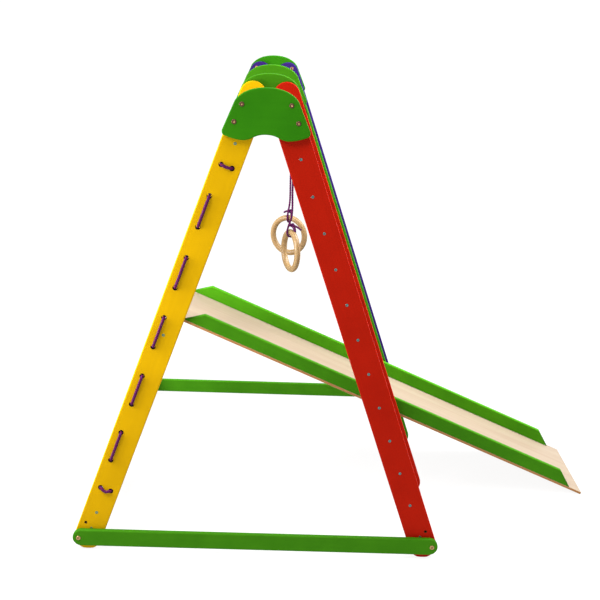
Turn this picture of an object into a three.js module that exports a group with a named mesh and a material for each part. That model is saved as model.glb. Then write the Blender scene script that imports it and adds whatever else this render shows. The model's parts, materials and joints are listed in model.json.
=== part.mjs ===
// Indoor climbing frame with a slide: four A-frames of painted board in a row, each pair
// joined into a unit by rungs, with a lift-off slide and two gymnastic rings hung between
// the units. Millimetres, +X towards the foot of the slide, +Y along the row, +Z up.
// The A-frames are drawn with x = 0 on their own centre plane, y = 0 on the first frame's
// outer face and z = 0 on the floor. The last lines centre the whole object on its origin.
import * as THREE from 'three';

// ---- Driving dimensions ----
const BOARD = 18; // thickness of every painted board
const GAP = 0.3; // air between two pieces that touch
const LEG_WIDTH = 90;
const LEG_RUN = 1490; // between the centres of a leg's two round ends
const LEG_LEAN = THREE.MathUtils.degToRad(19.37); // from the vertical
const FOOT_X = 551.2; // centre of the round foot
const FOOT_Z = 42; // less than half the leg's width, so each foot ends in a small flat
const UNIT_DEPTH = 506; // outer face to outer face of a pair of A-frames
const SLIDE_BAY = 430; // clear gap between the two units
const DOWEL_RADIUS = 13;

const RUNG_COUNT = 12;
const RUNG_TOP = 1341.4; // up the leg from the centre of its foot
const RUNG_PITCH = 119;
const CROSSBAR_RUNS = { top: 1385.3, middle: 743.3 };
const BRACE_RUN = 62; // middle of the low brace board, up the leg
const BRACE_WIDTH = 90;

const BEAM_HALF_LENGTH = 599;
const BEAM_HEIGHT = 56;
const BEAM_Z = 45;
const SPARE_HOLE = { run: 46, across: 22.6 }; // second bolt position, left open
const BOLT_HOLE_RADIUS = 3.5;

const ROPE_RADIUS = 4.6;
const ROPE_HOLE_RADIUS = 7;
const LACE_LEVELS = 12;
const LACE_TOP = 1311.9; // up the leg
const LACE_PITCH = 102.8;
const LACE_ACROSS = 17.3; // from the leg's centreline

const SLIDE_ANGLE = THREE.MathUtils.degToRad(22.89);
const SLIDE_TOE_X = 1204.6; // where the bed's underside meets the floor
const SLIDE_WIDTH = 407;
const BED_LENGTH = 1698.5;
const BED_THICKNESS = 9;
const RAIL_HEIGHT = 47.5;
const RAIL_LOW_END = 51; // from the toe, along the bed
const RAIL_HIGH_END = 1622.5;
const RAIL_MITRE = 62; // how much shorter a rail's top is than its foot, at each end
const HOOK_DROP = 40; // from the bed's underside
const HOOK_WALL = 12;
const HOOK_INSET = 24; // from the rail's outer face to the hook's
// Bars under the bed: along it from the toe, and down from its underside to their centres.
const HANGER = { along: 1669.9, depth: 21 };
const SUPPORT = { along: 801.2, depth: DOWEL_RADIUS + 0.4 };

const RING_RADIUS = 67; // centreline of the ring's tube
const RING_TUBE = 11;
const RING_SPACING = 256;
const RING_TOP_Z = 965;
const RING_BAR = { x: 88, z: 1346 };
const CORD_RADIUS = 3.5;
// Each ring's cord leaves one side of the bar (1 is the slide's side) and hangs at x = hang
// from the bar's axis. turn is the direction of the ring's plane from +X about the vertical.
const RING_HANGING = {
  near: { side: 1, hang: -0.5, turn: -69 },
  far: { side: -1, hang: -8, turn: -28 },
};

// ---- Materials ----
const paint = (color) => new THREE.MeshStandardMaterial({ color, roughness: 0.45, metalness: 0 });
const YELLOW = paint(0xf2b800);
const RED = paint(0xb51e10);
const GREEN = paint(0x35850f);
const PURPLE = paint(0x3f2880);
const ROPE = new THREE.MeshStandardMaterial({ color: 0x5e2464, roughness: 0.85, metalness: 0 });
const BIRCH = new THREE.MeshStandardMaterial({ color: 0xead6bb, roughness: 0.6, metalness: 0 });
const BEECH = new THREE.MeshStandardMaterial({ color: 0xd0b07c, roughness: 0.5, metalness: 0 });

// ---- Shared shapes ----
const structure = new THREE.Group();

function addMesh(parent, name, geometry, material) {
  const mesh = new THREE.Mesh(geometry, material);
  mesh.name = name;
  parent.add(mesh);
  return mesh;
}

// A flat board: an outline in the XZ plane, pushed from y to y + thickness.
function board(parent, name, shape, y, thickness, material) {
  const geometry = new THREE.ExtrudeGeometry(shape, {
    depth: thickness,
    bevelEnabled: false,
    curveSegments: 12,
  });
  geometry.rotateX(Math.PI / 2);
  geometry.translate(0, y + thickness, 0);
  return addMesh(parent, name, geometry, material);
}

function circleHole(x, z, radius) {
  const hole = new THREE.Path();
  const sides = 12;
  for (let i = 0; i <= sides; i += 1) {
    const a = (-2 * Math.PI * i) / sides;
    const point = [x + radius * Math.cos(a), z + radius * Math.sin(a)];
    if (i === 0) hole.moveTo(...point);
    else if (i < sides) hole.lineTo(...point);
  }
  hole.closePath();
  return hole;
}

// A round bar along Y between two faces, clear of both by GAP.
function dowel(name, x, z, yStart, yEnd, material) {
  const geometry = new THREE.CylinderGeometry(
    DOWEL_RADIUS, DOWEL_RADIUS, yEnd - yStart - 2 * GAP, 20);
  const mesh = addMesh(structure, name, geometry, material);
  mesh.position.set(x, (yStart + yEnd) / 2, z);
}

// A tube along a smooth curve through hand-chosen points.
function tube(name, points, radius, sides, steps, material) {
  const section = new THREE.Shape();
  for (let i = 0; i < sides; i += 1) {
    const a = (2 * Math.PI * i) / sides;
    const point = [radius * Math.cos(a), radius * Math.sin(a)];
    if (i === 0) section.moveTo(...point);
    else section.lineTo(...point);
  }
  const path = new THREE.CatmullRomCurve3(
    points.map((p) => new THREE.Vector3(...p)), false, 'centripetal');
  const geometry = new THREE.ExtrudeGeometry(section, { steps, extrudePath: path });
  return addMesh(structure, name, geometry, material);
}

// A point of a leg: run up its centreline from the foot, then across it, outwards.
// side is -1 for the laced left side and 1 for the right side.
function onLeg(side, run, across = 0) {
  const sin = Math.sin(LEG_LEAN);
  const cos = Math.cos(LEG_LEAN);
  return [side * (FOOT_X - run * sin + across * cos), FOOT_Z + run * cos + across * sin];
}

// ---- Frames in the row: outer frames carry base beams, every gusset faces out of its unit ----
const unitStarts = [0, UNIT_DEPTH + SLIDE_BAY];
const frames = [
  { y: unitStarts[0], front: true, colors: { left: YELLOW, right: RED }, outer: true, laced: true },
  { y: UNIT_DEPTH - BOARD, front: false, colors: { left: YELLOW, right: RED }, laced: true },
  { y: unitStarts[1], front: true, colors: { left: GREEN, right: GREEN } },
  { y: unitStarts[1] + UNIT_DEPTH - BOARD, front: false, outer: true,
    colors: { left: PURPLE, right: PURPLE } },
];

const laceRuns = Array.from({ length: LACE_LEVELS }, (_, i) => LACE_TOP - i * LACE_PITCH);

// Leg outline: round head, round foot cut by the floor.
function legShape(side) {
  const shape = new THREE.Shape();
  const half = LEG_WIDTH / 2;
  const arc = (run, from, to, steps) => Array.from({ length: steps + 1 }, (_, i) => {
    const a = from + ((to - from) * i) / steps;
    return onLeg(side, run + half * Math.sin(a), half * Math.cos(a));
  });
  // Angles in the leg's own frame at which the foot's arc meets the floor.
  const cut = Math.asin(FOOT_Z / half);
  const outline = [
    ...arc(LEG_RUN, 0, Math.PI, 16),
    ...arc(0, Math.PI, Math.PI + cut - LEG_LEAN, 6),
    ...arc(0, 2 * Math.PI - cut - LEG_LEAN, 2 * Math.PI, 9),
  ];
  // An outline with holes runs anticlockwise, and a left leg's is mirrored.
  if (side < 0) outline.reverse();
  outline.forEach((p, i) => (i === 0 ? shape.moveTo(...p) : shape.lineTo(...p)));
  shape.closePath();
  return shape;
}

function leg(name, side, frame, material) {
  const shape = legShape(side);
  if (frame.laced && side < 0) {
    laceRuns.forEach((run) => {
      shape.holes.push(circleHole(...onLeg(side, run, LACE_ACROSS), ROPE_HOLE_RADIUS));
    });
    if (frame.front) {
      [laceRuns[0], laceRuns[LACE_LEVELS - 1]].forEach((run) => {
        shape.holes.push(circleHole(...onLeg(side, run, -LACE_ACROSS), ROPE_HOLE_RADIUS));
      });
    }
  }
  if (frame.outer) {
    shape.holes.push(
      circleHole(...onLeg(side, SPARE_HOLE.run, SPARE_HOLE.across), BOLT_HOLE_RADIUS));
  }
  board(structure, name, shape, frame.y, BOARD, material);
}

// Gusset outline: a dome over both leg heads, straight sides a little proud of the legs,
// round lower corners and a shallow arch between two lobes.
function gussetShape() {
  const shape = new THREE.Shape();
  shape.moveTo(0, 1518);
  shape.bezierCurveTo(46, 1518, 78, 1503, 95, 1478);
  shape.lineTo(131, 1392);
  shape.quadraticCurveTo(134.5, 1380, 124, 1375);
  shape.quadraticCurveTo(96, 1363, 68, 1362);
  shape.bezierCurveTo(40, 1362, 38, 1379.5, 0, 1379.5);
  shape.bezierCurveTo(-38, 1379.5, -40, 1362, -68, 1362);
  shape.quadraticCurveTo(-96, 1363, -124, 1375);
  shape.quadraticCurveTo(-134.5, 1380, -131, 1392);
  shape.lineTo(-95, 1478);
  shape.bezierCurveTo(-78, 1503, -46, 1518, 0, 1518);
  return shape;
}

function beamShape() {
  const shape = new THREE.Shape();
  const round = BEAM_HEIGHT / 2;
  const x = BEAM_HALF_LENGTH - round;
  shape.moveTo(-x, BEAM_Z - round);
  shape.lineTo(x, BEAM_Z - round);
  shape.absarc(x, BEAM_Z, round, -Math.PI / 2, Math.PI / 2, false);
  shape.lineTo(-x, BEAM_Z + round);
  shape.absarc(-x, BEAM_Z, round, Math.PI / 2, (3 * Math.PI) / 2, false);
  return shape;
}

frames.forEach((frame, i) => {
  const number = i + 1;
  leg(`frame_${number}_leg_left`, -1, frame, frame.colors.left);
  leg(`frame_${number}_leg_right`, 1, frame, frame.colors.right);
  const plateY = frame.front ? frame.y - GAP - BOARD : frame.y + BOARD + GAP;
  board(structure, `frame_${number}_gusset`, gussetShape(), plateY, BOARD, GREEN);
  if (frame.outer) {
    board(structure, frame.front ? 'base_beam_near' : 'base_beam_far', beamShape(), plateY,
      BOARD, GREEN);
  }
});

// ---- Rungs, crossbars and low brace of each unit ----
function brace(name, yStart, yEnd, material) {
  const shape = new THREE.Shape();
  const thick = BOARD / 2;
  const wide = BRACE_WIDTH / 2;
  [[-wide, -thick], [wide, -thick], [wide, thick], [-wide, thick]].forEach(([run, across], i) => {
    const p = onLeg(-1, BRACE_RUN + run, across);
    if (i === 0) shape.moveTo(...p);
    else shape.lineTo(...p);
  });
  shape.closePath();
  board(structure, name, shape, yStart + GAP, yEnd - yStart - 2 * GAP, material);
}

[['a', unitStarts[0]], ['b', unitStarts[1]]].forEach(([unit, start]) => {
  const inner = [start + BOARD, start + UNIT_DEPTH - BOARD];
  for (let i = 0; i < RUNG_COUNT; i += 1) {
    const number = String(i + 1).padStart(2, '0');
    dowel(`unit_${unit}_rung_${number}`, ...onLeg(1, RUNG_TOP - i * RUNG_PITCH), ...inner, BIRCH);
  }
  Object.entries(CROSSBAR_RUNS).forEach(([level, run]) => {
    dowel(`unit_${unit}_crossbar_${level}`, ...onLeg(-1, run), ...inner, BIRCH);
  });
  brace(`unit_${unit}_brace_low`, ...inner, BIRCH);
});

// ---- Bars that join the two units across the slide's bay ----
const bay = [UNIT_DEPTH, unitStarts[1]];
const toe = new THREE.Vector3(SLIDE_TOE_X, 0, 0);
const downSlope = new THREE.Vector3(Math.cos(SLIDE_ANGLE), 0, -Math.sin(SLIDE_ANGLE));
const offBed = new THREE.Vector3(Math.sin(SLIDE_ANGLE), 0, Math.cos(SLIDE_ANGLE));
const underBed = ({ along, depth }) => toe.clone()
  .addScaledVector(downSlope, -along).addScaledVector(offBed, -depth);
const hanger = underBed(HANGER);
const support = underBed(SUPPORT);
dowel('bay_bar_left_top', -RING_BAR.x, RING_BAR.z, ...bay, BIRCH);
dowel('bay_bar_left_low', ...onLeg(-1, BRACE_RUN + 30), ...bay, BIRCH);
dowel('slide_hanger_bar', hanger.x, hanger.z, ...bay, BIRCH);
dowel('slide_support_bar', support.x, support.z, ...bay, BIRCH);
dowel('ring_bar', RING_BAR.x, RING_BAR.z, ...bay, BIRCH);

// ---- Rope laced through the left side of the first unit ----
// It is tied off in the inner hole of the top level, crosses the near leg's outer face,
// runs to the far leg, drops one level outside it, runs back, drops outside the near leg,
// and so on down to the second tied end.
const LACE_PROUD = ROPE_RADIUS + 0.6; // of the rope's centre from the face it lies on
const BEND = 4;
function lacingPoints() {
  const points = [];
  const at = (run, across, y) => {
    const [x, z] = onLeg(-1, run, across);
    points.push([x, y, z]);
  };
  // Out of one hole, along the outside of the leg and into the next: face is the leg's outer
  // face and out is the direction away from the unit. The two holes differ in run or across.
  const outside = (from, to, face, out) => {
    const length = Math.hypot(to[0] - from[0], to[1] - from[1]);
    const step = [(to[0] - from[0]) / length, (to[1] - from[1]) / length];
    at(from[0], from[1], face - out * BOARD);
    at(from[0], from[1], face + out);
    at(from[0] + step[0] * BEND, from[1] + step[1] * BEND, face + out * LACE_PROUD);
    at(to[0] - step[0] * BEND, to[1] - step[1] * BEND, face + out * LACE_PROUD);
    at(to[0], to[1], face + out);
    at(to[0], to[1], face - out * BOARD);
  };
  const tiedEnd = 2 * BOARD;
  const top = laceRuns[0];
  const bottom = laceRuns[LACE_LEVELS - 1];
  at(top, -LACE_ACROSS, tiedEnd);
  outside([top, -LACE_ACROSS], [top, LACE_ACROSS], 0, -1);
  for (let i = 0; i < LACE_LEVELS - 1; i += 1) {
    const toFar = i % 2 === 0;
    outside([laceRuns[i], LACE_ACROSS], [laceRuns[i + 1], LACE_ACROSS],
      toFar ? UNIT_DEPTH : 0, toFar ? 1 : -1);
  }
  outside([bottom, LACE_ACROSS], [bottom, -LACE_ACROSS], 0, -1);
  at(bottom, -LACE_ACROSS, tiedEnd);
  return points;
}

// The tube follows straight stretches between those points, with one ring of its surface at
// each, mitred at the corners.
function mitredTube(name, points, radius, sides, material) {
  const vectors = points.map((p) => new THREE.Vector3(...p));
  const positions = [];
  const index = [];
  const last = vectors.length - 1;
  let reference = new THREE.Vector3(1, 0, 0);
  vectors.forEach((v, i) => {
    const before = v.clone().sub(vectors[Math.max(i - 1, 0)]).normalize();
    const after = vectors[Math.min(i + 1, last)].clone().sub(v).normalize();
    const tangent = before.clone().add(after).normalize();
    const across = reference.clone().addScaledVector(tangent, -reference.dot(tangent)).normalize();
    const up = new THREE.Vector3().crossVectors(tangent, across);
    reference = across.clone();
    for (let k = 0; k < sides; k += 1) {
      const a = (2 * Math.PI * k) / sides;
      const p = v.clone().addScaledVector(across, radius * Math.cos(a))
        .addScaledVector(up, radius * Math.sin(a));
      positions.push(p.x, p.y, p.z);
      if (i < last) {
        const here = i * sides + k;
        const next = i * sides + ((k + 1) % sides);
        index.push(here, next, next + sides, here, next + sides, here + sides);
      }
    }
  });
  for (let k = 1; k < sides - 1; k += 1) {
    index.push(0, k + 1, k);
    index.push(last * sides, last * sides + k, last * sides + k + 1);
  }
  const geometry = new THREE.BufferGeometry();
  geometry.setAttribute('position', new THREE.Float32BufferAttribute(positions, 3));
  geometry.setIndex(index);
  geometry.computeVertexNormals();
  return addMesh(structure, name, geometry, material);
}
mitredTube('lacing_rope', lacingPoints(), ROPE_RADIUS, 8, ROPE);

// ---- Slide: plywood bed, two rails on its edges, two hooks over the hanger bar ----
// Drawn with x = 0 at the toe, -x up the slope and z = 0 on the bed's underside.
const slide = new THREE.Group();
slide.position.copy(toe);
slide.rotation.y = SLIDE_ANGLE;
structure.add(slide);
const slideNearY = UNIT_DEPTH + (SLIDE_BAY - SLIDE_WIDTH) / 2;

function outline(points) {
  const shape = new THREE.Shape();
  points.forEach((p, i) => (i === 0 ? shape.moveTo(...p) : shape.lineTo(...p)));
  shape.closePath();
  return shape;
}

const bedShape = outline([[-BED_LENGTH, 0], [0, 0], [0, BED_THICKNESS],
  [-BED_LENGTH, BED_THICKNESS]]);
board(slide, 'slide_bed', bedShape, slideNearY, SLIDE_WIDTH, BIRCH);

const railFoot = BED_THICKNESS + GAP;
const railShape = outline([
  [-RAIL_HIGH_END, railFoot], [-RAIL_LOW_END, railFoot],
  [-RAIL_LOW_END - RAIL_MITRE, BED_THICKNESS + RAIL_HEIGHT],
  [-RAIL_HIGH_END + RAIL_MITRE, BED_THICKNESS + RAIL_HEIGHT],
]);
const slideFarY = slideNearY + SLIDE_WIDTH - BOARD;
board(slide, 'slide_rail_near', railShape, slideNearY, BOARD, GREEN);
board(slide, 'slide_rail_far', railShape, slideFarY, BOARD, GREEN);

// Hook: a cheek under the bed with a slot, open downwards, that drops over the bar.
function hookShape() {
  const shape = new THREE.Shape();
  const slot = DOWEL_RADIUS + 0.6;
  const middle = -HANGER.along;
  shape.moveTo(middle + slot, -HOOK_DROP);
  shape.lineTo(middle + slot + HOOK_WALL, -HOOK_DROP);
  shape.lineTo(middle + slot + 3 * HOOK_WALL, -GAP);
  shape.lineTo(middle - slot - HOOK_WALL, -GAP);
  shape.lineTo(middle - slot - HOOK_WALL, -HOOK_DROP);
  shape.lineTo(middle - slot, -HOOK_DROP);
  shape.lineTo(middle - slot, -HANGER.depth);
  shape.absarc(middle, -HANGER.depth, slot, Math.PI, 0, true);
  shape.closePath();
  return shape;
}
board(slide, 'slide_hook_near', hookShape(), slideNearY + HOOK_INSET, BOARD, BIRCH);
board(slide, 'slide_hook_far', hookShape(), slideFarY - HOOK_INSET, BOARD, BIRCH);

// ---- Rings, each on its own cord from the ring bar ----
const bayMiddle = UNIT_DEPTH + SLIDE_BAY / 2;
const ringCentreZ = RING_TOP_Z - RING_TUBE - RING_RADIUS;

[['near', bayMiddle - RING_SPACING / 2], ['far', bayMiddle + RING_SPACING / 2]].forEach(
  ([which, y]) => {
    const { side, hang } = RING_HANGING[which];
    const turn = THREE.MathUtils.degToRad(RING_HANGING[which].turn);
    const { x, z } = RING_BAR;
    const hangX = x + hang;
    const ring = addMesh(structure, `ring_${which}`,
      new THREE.TorusGeometry(RING_RADIUS, RING_TUBE, 10, 28), BEECH);
    ring.geometry.rotateX(Math.PI / 2);
    ring.geometry.rotateZ(turn);
    ring.position.set(hangX, y, ringCentreZ);

    // The cord starts beside the bar, goes over it, hangs, passes under the ring's tube and
    // comes up to where it is knotted.
    const wrap = DOWEL_RADIUS + CORD_RADIUS + 1;
    const loop = RING_TUBE + CORD_RADIUS + 1;
    const normal = [Math.sin(turn), -Math.cos(turn)];
    const tubeZ = ringCentreZ + RING_RADIUS;
    const over = (offset, height) => [x + side * offset, y, z + height];
    const beside = (offset, height) => [
      hangX + offset * normal[0], y + offset * normal[1], height];
    tube(`ring_cord_${which}`, [
      over(3 - wrap, -26), over(-wrap, 0), over(-0.707 * wrap, 0.707 * wrap),
      over(0, wrap), over(0.707 * wrap, 0.707 * wrap), over(wrap, 0),
      over(12, -22), [hangX, y, z - 60], [hangX, y, z - 150], [hangX, y, z - 240],
      beside(0, tubeZ + 60), beside(0.8 * loop, tubeZ + 20), beside(loop, tubeZ),
      beside(0.707 * loop, tubeZ - 0.707 * loop), beside(0, tubeZ - loop),
      beside(-0.707 * loop, tubeZ - 0.707 * loop), beside(-loop, tubeZ),
      beside(-0.8 * loop, tubeZ + 20),
    ], CORD_RADIUS, 8, 72, ROPE);
  });

// ---- The whole object, centred over its origin on the floor ----
const low = -BEAM_HALF_LENGTH;
const high = SLIDE_TOE_X + BED_THICKNESS * Math.sin(SLIDE_ANGLE);
const depth = 2 * UNIT_DEPTH + SLIDE_BAY;
structure.position.set(-(low + high) / 2, -depth / 2, 0);
const group = new THREE.Group();
group.name = 'climbing_frame_with_slide';
group.add(structure);

export default group;
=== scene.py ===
"""Looks of the climbing frame with slide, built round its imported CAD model. Metres, +Z up.

Every painted board takes its outline from its own CAD node and gets rounded edges. Rods,
rings, ropes, knots, bolts and screws are built here at the places that the frame gives.
"""

import json
import math

import bmesh
import bpy
from mathutils import Matrix, Vector

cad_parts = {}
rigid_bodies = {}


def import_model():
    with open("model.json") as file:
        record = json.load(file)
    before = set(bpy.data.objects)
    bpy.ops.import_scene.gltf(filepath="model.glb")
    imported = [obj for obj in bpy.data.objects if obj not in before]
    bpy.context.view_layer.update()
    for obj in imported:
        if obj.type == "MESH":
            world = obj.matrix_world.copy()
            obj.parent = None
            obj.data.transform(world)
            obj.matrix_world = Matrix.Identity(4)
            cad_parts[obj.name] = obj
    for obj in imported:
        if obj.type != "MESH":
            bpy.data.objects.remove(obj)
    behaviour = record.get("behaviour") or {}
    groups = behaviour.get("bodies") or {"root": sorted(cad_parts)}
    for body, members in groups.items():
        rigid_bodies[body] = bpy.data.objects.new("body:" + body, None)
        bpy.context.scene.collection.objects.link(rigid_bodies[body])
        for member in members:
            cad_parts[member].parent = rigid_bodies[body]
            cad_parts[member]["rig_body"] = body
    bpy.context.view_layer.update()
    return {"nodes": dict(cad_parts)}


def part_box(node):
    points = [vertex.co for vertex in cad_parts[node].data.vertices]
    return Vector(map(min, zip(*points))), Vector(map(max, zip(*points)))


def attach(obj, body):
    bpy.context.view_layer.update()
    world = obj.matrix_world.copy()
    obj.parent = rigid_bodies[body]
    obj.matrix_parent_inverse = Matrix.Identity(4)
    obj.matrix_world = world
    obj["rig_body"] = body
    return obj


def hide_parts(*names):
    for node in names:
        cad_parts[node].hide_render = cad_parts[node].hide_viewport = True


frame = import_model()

NODES = frame["nodes"]
UP = Vector((0, 0, 1))

# ---- Camera ----
CAMERA_PLACE = Vector((-0.2408, -4.1094, 1.8258))
CAMERA_TURN, CAMERA_PITCH, CAMERA_ROLL = 0.016, 0.27464, 0.03519  # radians
CAMERA_LENS = 68.19  # millimetres, on a 36 mm sensor


def make_camera():
    forward = Vector((
        math.sin(CAMERA_TURN) * math.cos(CAMERA_PITCH),
        math.cos(CAMERA_TURN) * math.cos(CAMERA_PITCH),
        -math.sin(CAMERA_PITCH),
    ))
    level = Vector((math.cos(CAMERA_TURN), -math.sin(CAMERA_TURN), 0))
    right = (Matrix.Rotation(-CAMERA_ROLL, 3, forward) @ level).normalized()
    up = right.cross(forward)
    camera = bpy.data.objects.new("camera", bpy.data.cameras.new("camera"))
    bpy.context.scene.collection.objects.link(camera)
    camera.data.sensor_width = 36
    camera.data.lens = CAMERA_LENS
    axes = Matrix((right, up, -forward)).transposed().to_4x4()
    camera.matrix_world = Matrix.Translation(CAMERA_PLACE) @ axes
    bpy.context.scene.camera = camera


make_camera()


# ---- Materials ----
def new_material(name, color, roughness, metallic=0.0, specular=0.5):
    """A material, its node tree and its shader, with the values that are the same all over."""
    material = bpy.data.materials.new(name)
    material.use_nodes = True
    tree = material.node_tree
    shader = tree.nodes["Principled BSDF"]
    shader.inputs["Base Color"].default_value = (*color, 1)
    shader.inputs["Roughness"].default_value = roughness
    shader.inputs["Metallic"].default_value = metallic
    shader.inputs["Specular IOR Level"].default_value = specular
    return material, tree, shader


def node(tree, kind, **values):
    """A new node; values named in lower case are properties, the others are inputs."""
    made = tree.nodes.new("ShaderNode" + kind)
    for key, value in values.items():
        if key[0].islower():
            setattr(made, key, value)
        else:
            made.inputs[key.replace("_", " ")].default_value = value
    return made


def object_place(tree):
    """Object coordinates, moved by a different amount on each object."""
    place = node(tree, "TexCoord").outputs["Object"]
    drawn = node(tree, "ObjectInfo").outputs["Random"]
    shift = node(tree, "VectorMath", operation="SCALE")
    shift.inputs[0].default_value = (7.0, 13.0, 5.0)
    tree.links.new(drawn, shift.inputs["Scale"])
    total = node(tree, "VectorMath", operation="ADD")
    tree.links.new(place, total.inputs[0])
    tree.links.new(shift.outputs[0], total.inputs[1])
    return total.outputs[0]


def noise(tree, place, stretch, detail=3.0, distortion=0.0):
    """Noise from 0 to 1 whose features are one over stretch metres long each way."""
    mapping = node(tree, "Mapping", Scale=stretch)
    tree.links.new(place, mapping.inputs["Vector"])
    cloud = node(tree, "TexNoise", Scale=1.0, Detail=detail, Roughness=0.55,
                 Distortion=distortion)
    tree.links.new(mapping.outputs[0], cloud.inputs["Vector"])
    return cloud.outputs["Fac"]


def between(tree, value, low, high, from_low=0.3, from_high=0.7):
    """value, which runs from from_low to from_high, as a number from low to high."""
    span = node(tree, "MapRange", From_Min=from_low, From_Max=from_high, To_Min=low, To_Max=high)
    tree.links.new(value, span.inputs["Value"])
    return span.outputs["Result"]


# The mix node has sockets for every kind of data, so its colour ones go by number.
MIX_FIRST, MIX_SECOND, MIX_RESULT = 6, 7, 2


def mixed(tree, factor, first, second):
    """Two colours mixed; each is a colour or another node's output."""
    mix = node(tree, "Mix", data_type="RGBA")
    tree.links.new(factor, mix.inputs["Factor"])
    for socket, value in ((mix.inputs[MIX_FIRST], first), (mix.inputs[MIX_SECOND], second)):
        if isinstance(value, bpy.types.NodeSocket):
            tree.links.new(value, socket)
        else:
            socket.default_value = (*value, 1)
    return mix.outputs[MIX_RESULT]


def bumped(tree, shader, heights):
    """Adds bumps to the shader, one after another, from (height, depth in metres) pairs."""
    normal = None
    for height, depth in heights:
        bump = node(tree, "Bump", Distance=depth, Strength=1.0)
        tree.links.new(height, bump.inputs["Height"])
        if normal:
            tree.links.new(normal, bump.inputs["Normal"])
        normal = bump.outputs[0]
    tree.links.new(normal, shader.inputs["Normal"])


def tone(color, factor):
    return tuple(min(1.0, c * factor) for c in color)


GRAIN = (3.0, 90.0, 90.0)  # wood grain runs along each piece's own X
STRANDS = 3  # of a rope, each way round it


def paint(name, color, dark, light, top_light=1.25):
    """Satin enamel over wood: faint grain under it, soft mottling and a fine orange peel. Faces
    that
    look up get a painted highlight: their colour is scaled by the given factor, as light from
    above would brighten them."""
    material, tree, shader = new_material(name, color, 0.45, specular=0.025)
    place = object_place(tree)
    grain = noise(tree, place, GRAIN, detail=4.0, distortion=0.3)
    cloud = noise(tree, place, (9.0, 9.0, 9.0), detail=3.0)
    peel = noise(tree, place, (420.0, 420.0, 420.0), detail=1.0)
    body = mixed(tree, between(tree, cloud, 0, 1), dark, light)
    streaked = mixed(tree, between(tree, grain, 0, 0.35), body, tone(color, 0.86))
    # Painted highlight: where the face looks up, the colour is scaled by the factor, standing in
    # for light from above (below 1 it is painted shade).
    facing = node(tree, "SeparateXYZ")
    tree.links.new(node(tree, "TexCoord").outputs["Normal"], facing.inputs[0])
    top_lit = mixed(tree, between(tree, facing.outputs["Z"], 0, 1, 0.2, 0.8), streaked,
                    tone(color, top_light))
    tree.links.new(top_lit, shader.inputs["Base Color"])
    tree.links.new(between(tree, cloud, 0.4, 0.54), shader.inputs["Roughness"])
    bumped(tree, shader, [(grain, 0.00018), (peel, 0.00006)])
    return material


def bare_wood(name, pale, mid, dark, roughness=0.5, specular=0.3, grain_place=object_place):
    """Clear-varnished wood with grain along X: soft bands, fine dark pores, slow colour drift."""
    material, tree, shader = new_material(name, mid, roughness, specular=specular)
    place = grain_place(tree)
    bands = noise(tree, place, (1.6, 34.0, 34.0), detail=3.0, distortion=0.6)
    pores = noise(tree, place, (14.0, 480.0, 480.0), detail=2.0)
    drift = noise(tree, place, (2.5, 5.0, 5.0), detail=2.0)
    body = mixed(tree, between(tree, bands, 0, 1), pale, mid)
    warm = mixed(tree, between(tree, drift, 0, 0.45), body, dark)
    lined = mixed(tree, between(tree, pores, 0, 0.4, 0.52, 0.75), warm, dark)
    tree.links.new(lined, shader.inputs["Base Color"])
    tree.links.new(between(tree, bands, roughness - 0.06, roughness + 0.1),
                   shader.inputs["Roughness"])
    bumped(tree, shader, [(pores, 0.00012)])
    return material


RING_RADIUS = 0.078  # of the outside of a gymnastic ring
STREAK_RUN = 0.6  # share of the way round: it keeps a streak from closing on itself


def round_the_ring(tree):
    """Coordinates whose X runs across a ring in its own XZ plane and whose Z runs out from its
    middle, so that grain follows it round. The ring's object origin is at its corner."""
    place = node(tree, "SeparateXYZ")
    tree.links.new(node(tree, "TexCoord").outputs["Object"], place.inputs[0])
    flat = node(tree, "CombineXYZ")
    from_middle = []
    for axis in ("X", "Z"):
        away = node(tree, "Math", operation="SUBTRACT")
        away.inputs[1].default_value = RING_RADIUS
        tree.links.new(place.outputs[axis], away.inputs[0])
        tree.links.new(away.outputs[0], flat.inputs[axis])
        from_middle.append(away.outputs[0])
    reach = node(tree, "VectorMath", operation="LENGTH")
    tree.links.new(flat.outputs[0], reach.inputs[0])
    along = node(tree, "Math", operation="MULTIPLY")
    along.inputs[1].default_value = STREAK_RUN
    tree.links.new(from_middle[0], along.inputs[0])
    made = node(tree, "CombineXYZ")
    tree.links.new(along.outputs[0], made.inputs["X"])
    tree.links.new(place.outputs["Y"], made.inputs["Y"])
    tree.links.new(reach.outputs["Value"], made.inputs["Z"])
    return made.outputs[0]


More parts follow.
